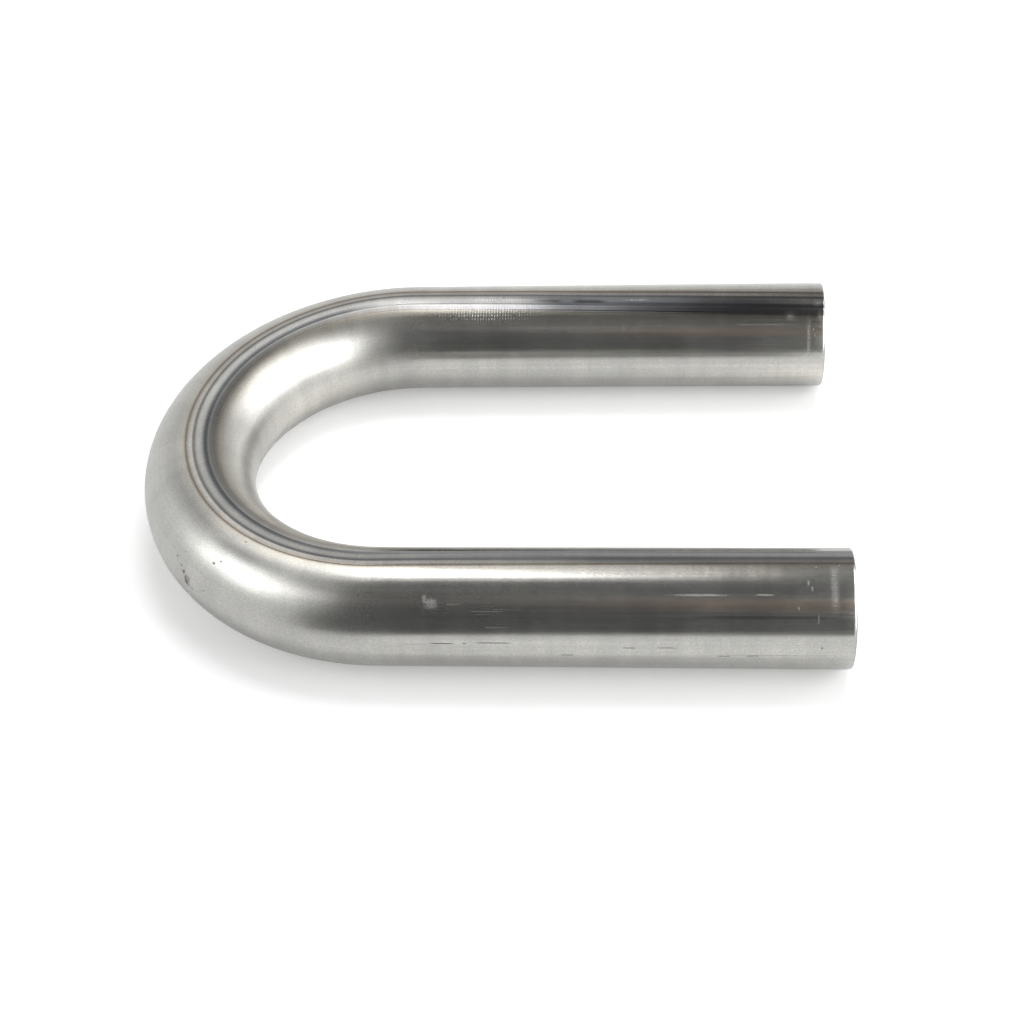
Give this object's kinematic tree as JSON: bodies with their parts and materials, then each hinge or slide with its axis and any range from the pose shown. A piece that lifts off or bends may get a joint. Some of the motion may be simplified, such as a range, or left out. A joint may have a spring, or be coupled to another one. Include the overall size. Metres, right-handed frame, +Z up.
{
  "type": "return bend",
  "caption": "U-shaped welded steel tube, bent through half a turn, with straight open legs. It turns a pipe run back on itself.",
  "frame": {"origin": "under the middle of the part's box, on the surface that it lies on", "axes": "+X towards the open ends, along the legs; +Y towards the left leg seen from the bend; +Z up, square to the plane of the bend"},
  "size_m": [0.2588, 0.1938, 0.0412],
  "materials": {
    "bare_steel": "bare mill steel, satin, with draw lines, a planed weld seam with heat tint, light scuffs and a few rust specks"
  },
  "bodies": {
    "root": {"return_bend": "bare_steel"}
  },
  "joints": []
}
